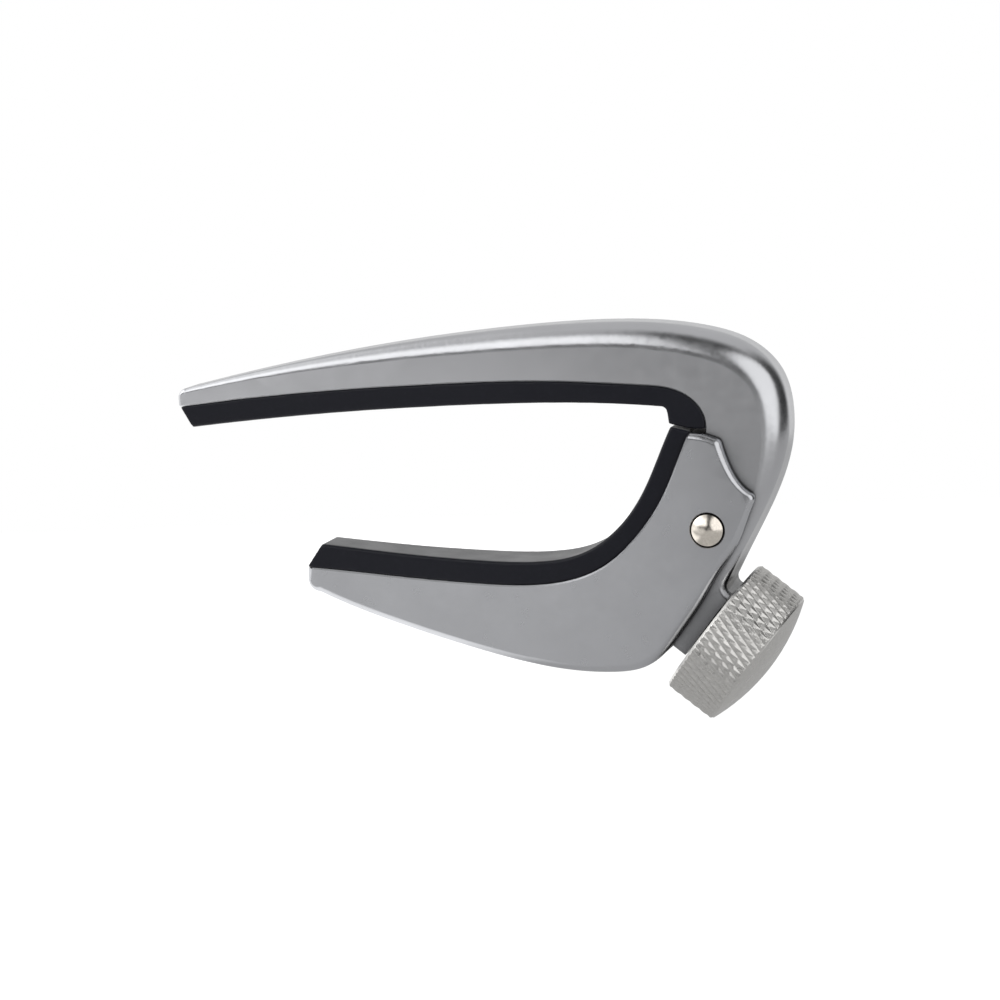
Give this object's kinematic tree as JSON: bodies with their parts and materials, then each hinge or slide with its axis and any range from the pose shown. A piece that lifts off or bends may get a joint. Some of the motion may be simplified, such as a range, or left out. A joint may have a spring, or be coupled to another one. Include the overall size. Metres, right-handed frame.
{
  "type": "guitar capo",
  "caption": "Screw-clamped guitar capo: padded arm over the strings, padded hinged jaw behind the neck, and a knurled thumbscrew that closes the jaw.",
  "frame": {"origin": "middle of the string pad's underside, where it bears on the strings", "axes": "+Z away from the fretboard, +X across the neck towards the hinge and thumbscrew, +Y along the neck"},
  "size_m": [0.0801, 0.0194, 0.0513],
  "materials": {
    "frame_metal": "bead-blasted, satin anodised",
    "jaw_metal": "bead-blasted, satin anodised",
    "knob_metal": "turned, diamond-knurled rim, plain satin face",
    "pad_rubber": "moulded silicone, soft satin",
    "pin_steel": "polished nickel plate",
    "bush_bronze": "plain sintered bronze",
    "spring_steel": "drawn spring wire",
    "screw_steel": "plain machined steel",
    "insert_brass": "machined brass",
    "tip_brass": "machined brass",
    "plate_steel": "ground hardened steel"
  },
  "bodies": {
    "frame_body": {"frame": "frame_metal", "string_pad": "pad_rubber", "bush_front": "bush_bronze", "bush_rear": "bush_bronze", "thread_insert": "insert_brass", "return_spring": "spring_steel"},
    "jaw_body": {"lower_jaw": "jaw_metal", "neck_pad": "pad_rubber", "pivot_pin": "pin_steel", "wear_plate": "plate_steel"},
    "tip_body": {"thrust_tip": "tip_brass"},
    "knob_body": {"thumb_knob": "knob_metal", "adjusting_screw": "screw_steel"}
  },
  "joints": [
    {"name": "screw_travel", "type": "slide", "parent": "frame_body", "child": "tip_body", "axis": [0.766, 0, -0.6428], "range_m": [0, 0.00321]},
    {"name": "knob_turn", "type": "hinge", "parent": "tip_body", "child": "knob_body", "pos_m": [0.03474, 0, -0.03022], "axis": [0.766, 0, -0.6428], "range_deg": [0, 1440]},
    {"name": "jaw_pivot", "type": "hinge", "parent": "frame_body", "child": "jaw_body", "pos_m": [0.0355, 0, -0.01687], "axis": [0, -1, 0], "range_deg": [0, 16.6]}
  ],
  "couplings": [
    {"joint": "screw_travel", "follows": "knob_turn", "m_per_rad": 0.00012732},
    {"joint": "jaw_pivot", "follows": "knob_turn", "ratio": 0.011521}
  ]
}
